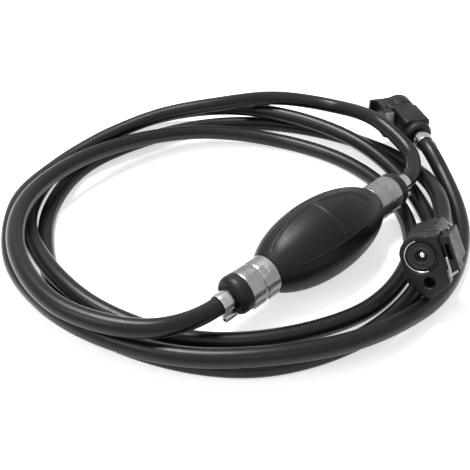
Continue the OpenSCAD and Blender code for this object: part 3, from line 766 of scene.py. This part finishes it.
def makeHousing(name, port):
    # Cross-sections carried from the face to the rear and back through the bore: each is a
    # set of spokes round the port's axis, and they blend from head to body over a shoulder.
    angle = np.linspace(0, 2 * pi, head["columns"], endpoint=False)
    full, short, box = headOutlines(angle)
    ring = np.ones_like(angle)
    tab, depth, back, floor = head["tabDepth"], head["depth"], head["rear"], head["socketDepth"]
    stem, bore, socket = head["stem"] * ring, head["bore"] * ring, head["socket"] * ring
    rows = [(0.0, full - 1.3), (-0.12, full - 0.75), (-0.5, full - 0.25), (-1.2, full), (-4.0, full),
            (-tab + 1.0, full), (-tab + 0.3, full - 0.3), (-tab, np.minimum(full - 0.9, short + 0.6)),
            (-tab - 0.2, short), (-12.2, short), (-13.2, short - 0.25)]
    shoulder = [(-depth + 0.2 - 5.2 * t, (short - 0.8) * (1 - fade(t, 0, 1)) + box * fade(t, 0, 1))
                for t in np.linspace(0, 1, 8)]
    rear = [(-30.0, box), (-back + 0.8, box), (-back + 0.2, box - 0.3), (-back, box - 0.9)]
    inside = [(-back, stem), (-head["boreEnd"], stem), (-head["boreEnd"], bore), (-floor - 0.05, bore),
              (-floor, socket), (-0.35, socket), (0.0, socket + 0.35)]
    radii = np.array([r for _, r in rows + shoulder + rear + inside])
    depths = np.array([x for x, _ in rows + shoulder + rear + inside])[:, None] + 0 * radii
    local = np.stack([depths, radii * np.cos(angle), radii * np.sin(angle)], -1) * mm
    place = onPort(port)
    shells = [gridShell(place(local.reshape(-1, 3)).reshape(local.shape))]
    half = head["ribHalf"]
    for k in range(head["ribs"]):  # grip ribs
        low = head["ribStart"] - head["ribPitch"] * k
        high = low + head["ribWide"]
        outline = softCorners([(low, -half), (high, -half), (high, half), (low, half)], 0.5, 3) * mm
        shells.append(plate(outline, -0.0115, -0.0100, 0.0003, lambda p: place(p[:, [0, 2, 1]])))
    arc = np.radians(np.linspace(0, 180, 16))
    pivot, radius = head["pivotBack"], head["lugRadius"]
    cap = np.stack([pivot + radius * np.cos(arc), head["pivotOut"] + radius * np.sin(arc)], -1)
    outline = np.vstack([cap, [(pivot - radius, 10.0), (pivot + radius, 10.0)]]) * mm
    for low in head["lugStarts"]:  # lugs of the lever's pin
        shells.append(plate(outline, low * mm, (low + head["lugWide"]) * mm, 0.0003, place))
    piece = makePiece(name + "Piece", shells, "black_plastic", [name, port + "_guide_foot"],
                      sharpAngle=32.0)
    cutGuideHole(piece, port)
    return piece


def cutGuideHole(piece, port):
    # The guide pin's blind hole with a small lead-in, cut out of the head.
    angle = np.linspace(0, 2 * pi, 48, endpoint=False)
    radius, depth, drop = head["guideRadius"], head["guideDepth"], head["guideDrop"]
    rows = [(1.0, radius + 0.85), (0.0, radius + 0.4), (-0.5, radius), (-depth, radius)]
    local = np.stack([np.stack([np.full(48, x), r * np.cos(angle), r * np.sin(angle) - drop], -1)
                      for x, r in rows]) * mm
    points = onPort(port)(local.reshape(-1, 3)).reshape(local.shape)
    shell = capped(gridShell(points, closeRows=False), 48)
    mesh = bpy.data.meshes.new("guideCutter")
    mesh.from_pydata(shell["points"].tolist(), [], shell["faces"])
    turnOutwards(mesh)
    cutter = bpy.data.objects.new("guideCutter", mesh)
    bpy.context.scene.collection.objects.link(cutter)
    cut = piece.modifiers.new("guideHole", "BOOLEAN")
    cut.operation = "DIFFERENCE"
    cut.solver = "EXACT"
    cut.object = cutter
    bpy.context.view_layer.update()
    result = bpy.data.meshes.new_from_object(piece.evaluated_get(bpy.context.evaluated_depsgraph_get()))
    piece.modifiers.clear()
    piece.data = result
    bpy.data.objects.remove(cutter)
    result.shade_smooth()
    result.set_sharp_from_angle(angle=math.radians(32))


# Radius and distance behind the face, in mm.
rearCap = [
    (4.5, 43.4), (11.3, 43.4), (11.5, 43.6), (11.5, 44.6), (11.15, 44.8), (11.15, 45.2), (11.5, 45.4),
    (11.5, 46.8), (11.3, 47.9), (10.6, 49.0), (9.6, 49.7), (8.6, 50.0), (7.6, 50.0), (7.4, 49.6),
    (6.3, 49.6), (4.5, 49.6),
]
portSeal = [
    (4.0, 0.55), (4.6, 0.3), (5.4, 0.3), (5.9, 0.75), (7.2, 0.75), (7.6, 0.45), (8.3, 0.45),
    (8.75, 0.95), (8.75, 4.6), (3.1, 4.6), (2.9, 4.2), (4.0, 2.5),
]


def makeRearCap(name, port):
    # A round collar behind the body, with one shallow turned groove and a rounded rear edge.
    shell = turned(np.array(rearCap) * mm, ports[port]["origin"], rearAxes(port), 96)
    return makePiece(name + "Piece", [shell], "black_plastic", [name], sharpAngle=30.0)


def makeSeal(name, port):
    # A rubber disc with a raised lip at the port and a ring round it, turned on the port's axis.
    shell = turned(softCorners(portSeal, 0.22, 3) * mm, ports[port]["origin"], rearAxes(port), 96)
    return makePiece(name + "Piece", [shell], "seal_rubber", [name], sharpAngle=45.0)


circlip = {"radius": 10.25, "wire": 0.5, "depth": 0.95, "from": 92.0, "to": 281.0}


def makeCirclip(name, port):
    # Round wire carried along an open ring in the socket.
    turn = np.radians(np.linspace(circlip["from"], circlip["to"], 90))
    local = np.stack([np.full(90, -circlip["depth"]), circlip["radius"] * np.cos(turn),
                      circlip["radius"] * np.sin(turn)], -1) * mm
    line = onPort(port)(local)
    shell = carried(roundSection(circlip["wire"] * mm, 10), line, directions(line), portAxes(port)[0])
    return makePiece(name + "Piece", [shell], "clamp_steel", [name], sharpAngle=60.0)


def mergedCopy(name, finish, body, angle):
    # The solid itself, with its flat faces made whole.
    mesh = frame["nodes"][name].data.copy()
    build = bmesh.new()
    build.from_mesh(mesh)
    bmesh.ops.remove_doubles(build, verts=build.verts, dist=1e-6)
    bmesh.ops.dissolve_limit(build, angle_limit=math.radians(1.0), verts=build.verts,
                             edges=build.edges)
    build.to_mesh(mesh)
    build.free()
    return finishPiece(bpy.data.objects.new(name + "Piece", mesh), finish, [name], body, angle)


def bevelledCopy(name, finish, width, body, angle=35.0):
    # A merged copy with every hard edge rounded.
    piece = mergedCopy(name, finish, body, angle)
    bevel = piece.modifiers.new("softEdges", "BEVEL")
    bevel.width = width
    bevel.segments = 2
    bevel.limit_method = "ANGLE"
    bevel.angle_limit = math.radians(angle)
    bevel.harden_normals = False
    bevel.use_clamp_overlap = True
    return piece


springs = {
    # the end that stays, and the length left at the joint's limit
    "ballEnd": -0.0182, "ballKeep": 0.73,
    "leafRoot": 0.0107, "leafKeep": 0.74,
}


def makeSprings(port):
    # Merged copies of the wound spring along the port and of the leaf spring, each given a mesh of its
    # own.
    place = onPort(port)
    wound = mergedCopy(port + "_ball_spring", "spring_steel", setBody, 60.0)
    tuple(place((springs["ballEnd"], 0, 0)))
    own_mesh(wound)
    leaf = mergedCopy(port + "_lever_spring", "spring_steel", setBody, 30.0)
    tuple(place((-0.03, springs["leafRoot"], 0)))
    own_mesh(leaf)
    return [wound, leaf]


connectorPieces = {"tank": [], "engine": []}
for port in ("tank", "engine"):
    connectorPieces[port] += [
        makeHousing(port + "_housing", port),
        makeRearCap(port + "_rear_cap", port),
        makeSeal(port + "_port_seal", port),
        makeCirclip(port + "_circlip", port),
        bevelledCopy(port + "_lever", "black_plastic", 0.0006, port + "_latch"),
        bevelledCopy(port + "_hook", "zinc_steel", 0.00015, port + "_latch"),
    ] + makeSprings(port)
print("connectors made")


def dressNodes():
    # Every solid that still shows gets the material of its slot.
    slots = {part["node"]: part["material_slot"] for part in frame["record"]["subparts"]}
    for name, node in frame["nodes"].items():
        if node.hide_render:
            continue
        node.data.materials.clear()
        node.data.materials.append(finishes[slots[name]])


dressNodes()

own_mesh(bulbPiece)

studio = {
    "floorSize": 6.0, "floorGlow": 0.62, "worldStrength": 0.3,
    "lamps": [
        # name, place, aims at, size, power
        ("top", (-0.04, 0.42, 1.05), (0.0, 0.03, 0.02), 0.5, 22.0),
        ("left", (-0.9, 0.2, 0.9), (0.0, 0.03, 0.03), 0.6, 5.0),
        ("front", (-0.5, -0.7, 1.0), (0.03, 0.0, 0.03), 0.8, 1.5),
    ],
}


def cameraSees(tree):
    # 1 for rays that come from the camera or through a mirror or glass, else 0.
    path = addNode(tree, "ShaderNodeLightPath")
    first = addNode(tree, "ShaderNodeMath", operation="MAXIMUM",
                    links={0: path.outputs["Is Camera Ray"], 1: path.outputs["Is Glossy Ray"]})
    both = addNode(tree, "ShaderNodeMath", operation="MAXIMUM",
                   links={0: first.outputs[0], 1: path.outputs["Is Transmission Ray"]})
    return both.outputs[0]


def makeWorld():
    world = bpy.data.worlds.new("studio")
    bpy.context.scene.world = world
    world.use_nodes = True
    tree = world.node_tree
    tree.nodes.clear()
    seen = cameraSees(tree)
    lit = addNode(tree, "ShaderNodeBackground",
                  {"Color": (1, 1, 1, 1), "Strength": studio["worldStrength"]})
    shown = addNode(tree, "ShaderNodeBackground", {"Color": (1, 1, 1, 1), "Strength": 1.0})
    mix = addNode(tree, "ShaderNodeMixShader",
                  links={0: seen, 1: lit.outputs[0], 2: shown.outputs[0]})
    output = addNode(tree, "ShaderNodeOutputWorld")
    tree.links.new(mix.outputs[0], output.inputs[0])


def makeFloor():
    size = studio["floorSize"] / 2
    mesh = bpy.data.meshes.new("floor")
    corners = [(-size, -size, 0), (size, -size, 0), (size, size, 0), (-size, size, 0)]
    mesh.from_pydata(corners, [], [(0, 1, 2, 3)])
    floor = bpy.data.objects.new("floor", mesh)
    floor.location.z = -0.0002
    bpy.context.scene.collection.objects.link(floor)
    material, tree, shader = startMaterial("matteWhiteSheet", Roughness=0.9)
    shader.inputs["Base Color"].default_value = linearColour("#e6e6e6")
    shader.inputs["Specular IOR Level"].default_value = 0.1
    seen = cameraSees(tree)
    glow = addNode(tree, "ShaderNodeEmission", {"Color": (1, 1, 1, 1), "Strength": studio["floorGlow"]})
    both = addNode(tree, "ShaderNodeAddShader", links={0: shader.outputs[0], 1: glow.outputs[0]})
    mix = addNode(tree, "ShaderNodeMixShader", links={0: seen, 1: shader.outputs[0], 2: both.outputs[0]})
    output = next(n for n in tree.nodes if n.type == "OUTPUT_MATERIAL")
    tree.links.new(mix.outputs[0], output.inputs[0])
    floor.data.materials.append(material)


def addLamps():
    for name, place, aim, size, power in studio["lamps"]:
        light = bpy.data.lights.new(name, "AREA")
        light.shape = "DISK"
        light.size = size
        light.energy = power
        lamp = bpy.data.objects.new(name, light)
        lamp.location = place
        way = Vector(aim) - Vector(place)
        lamp.rotation_euler = way.to_track_quat("-Z", "Y").to_euler()
        bpy.context.scene.collection.objects.link(lamp)


makeWorld()
makeFloor()
addLamps()
bpy.context.scene.view_settings.view_transform = "Standard"
print("studio made")
